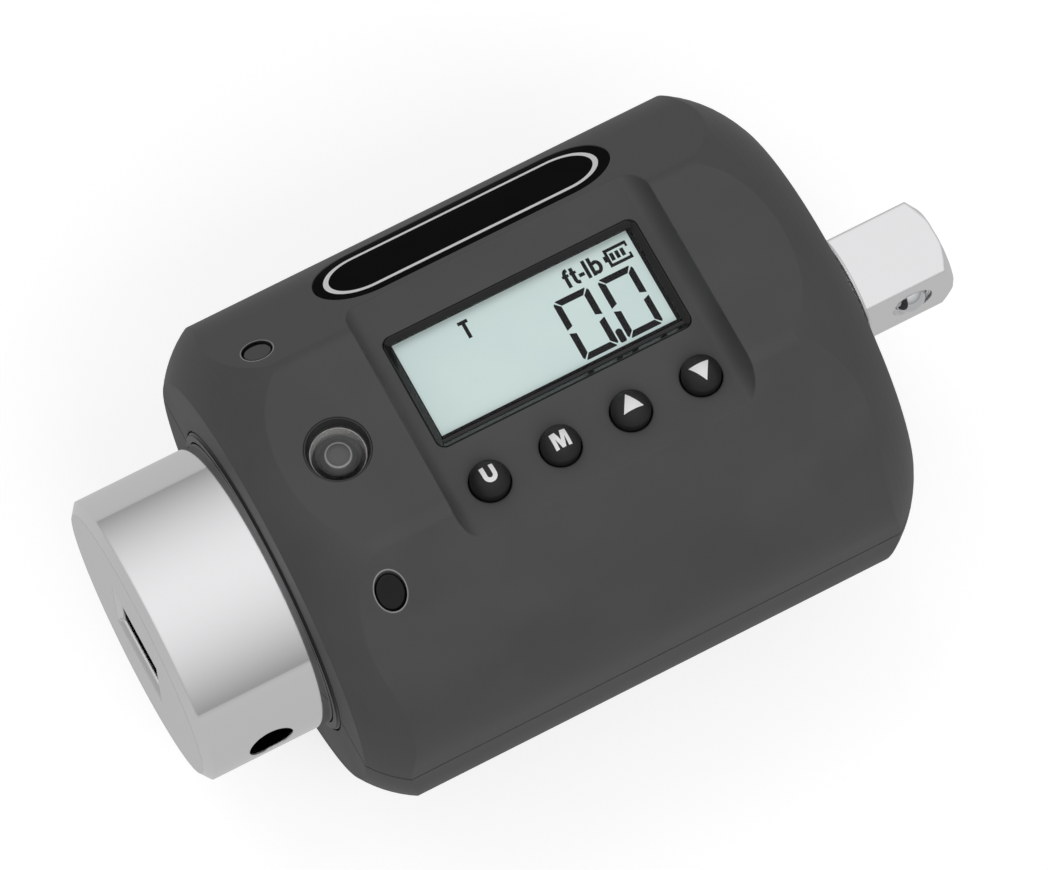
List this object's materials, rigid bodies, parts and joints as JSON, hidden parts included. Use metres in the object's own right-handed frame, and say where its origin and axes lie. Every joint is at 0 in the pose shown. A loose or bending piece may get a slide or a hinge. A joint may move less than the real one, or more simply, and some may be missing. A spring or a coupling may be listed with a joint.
{
  "type": "digital torque meter",
  "caption": "In-line digital torque adapter: an eight-sided housing with a recessed display and round buttons, a female square drive collar and a male square drive.",
  "frame": {"origin": "centre of the underside of the whole object's box, on the surface that it rests on", "axes": "+X along the drive axis from the female collar to the male square, +Z out of the display, +Y towards the side with the bare name plate"},
  "size_m": [0.1, 0.0564, 0.0564],
  "materials": {
    "housing": "soft-touch moulded plastic, very fine grain",
    "ring_black": "satin black moulding",
    "chrome": "polished chrome plate on steel",
    "ball_steel": "polished bearing steel",
    "spring_steel": "oiled spring steel",
    "nylon": "black nylon",
    "bezel": "gloss black moulding",
    "clear_window": "clear acrylic",
    "lcd_glass": "reflective liquid crystal display, pale green grey",
    "holder_white": "white moulding",
    "elastomer": "striped contact rubber",
    "key_rubber": "satin black silicone rubber",
    "plunger": "moulded acetal",
    "switch_plastic": "moulded nylon",
    "lamp_ring": "dark bright ring",
    "clear_lens": "clear acrylic",
    "led_resin": "clear resin",
    "board_green": "solder mask",
    "chip_black": "moulded epoxy",
    "screw_steel": "zinc plated",
    "gauge_foil": "etched foil on polyimide",
    "flex_amber": "polyimide film",
    "badge_black": "gloss black plate, bare",
    "brass": "knurled brass",
    "cell_jacket": "printed sleeve, bare",
    "contact_nickel": "nickel plated spring steel",
    "lead_insulation": "insulated leads, one red and one black"
  },
  "bodies": {
    "meter": {"upper_shell": "housing", "lower_shell": "housing", "collar_ring": "ring_black", "torque_shaft": "chrome", "detent_spring": "spring_steel", "shaft_bushing": "nylon", "retaining_ring": "spring_steel", "display_bezel": "bezel", "display_window": "clear_window", "lcd_panel": "lcd_glass", "lcd_holder": "holder_white", "contact_strip": "elastomer", "switch_bodies": "switch_plastic", "lamp_ring": "lamp_ring", "lamp_lens": "clear_lens", "lamp_led": "led_resin", "main_board": "board_green", "board_chips": "chip_black", "buzzer": "chip_black", "board_screws": "screw_steel", "strain_gauges": "gauge_foil", "gauge_flex": "flex_amber", "badge_plate": "badge_black", "shell_screws": "screw_steel", "screw_inserts": "brass", "battery_cover": "housing", "cover_screw": "screw_steel", "battery_cells": "cell_jacket", "battery_contacts": "contact_nickel", "battery_springs": "contact_nickel", "battery_leads": "lead_insulation"},
    "key_units": {"button_units": "key_rubber", "plunger_units": "plunger"},
    "key_mode": {"button_mode": "key_rubber", "plunger_mode": "plunger"},
    "key_up": {"button_up": "key_rubber", "plunger_up": "plunger"},
    "key_down": {"button_down": "key_rubber", "plunger_down": "plunger"},
    "ball": {"detent_ball": "ball_steel"}
  },
  "joints": [
    {"name": "units_press", "type": "slide", "parent": "meter", "child": "key_units", "axis": [0, 0, -1], "range_m": [0, 0.0006], "stiffness_N_per_m": 900, "springref_m": -0.0005},
    {"name": "mode_press", "type": "slide", "parent": "meter", "child": "key_mode", "axis": [0, 0, -1], "range_m": [0, 0.0006], "stiffness_N_per_m": 900, "springref_m": -0.0005},
    {"name": "up_press", "type": "slide", "parent": "meter", "child": "key_up", "axis": [0, 0, -1], "range_m": [0, 0.0006], "stiffness_N_per_m": 900, "springref_m": -0.0005},
    {"name": "down_press", "type": "slide", "parent": "meter", "child": "key_down", "axis": [0, 0, -1], "range_m": [0, 0.0006], "stiffness_N_per_m": 900, "springref_m": -0.0005},
    {"name": "ball_press", "type": "slide", "parent": "meter", "child": "ball", "axis": [0, 1, 0], "range_m": [0, 0.0009], "stiffness_N_per_m": 1500, "springref_m": -0.0003, "deforming": ["detent_spring"]}
  ]
}
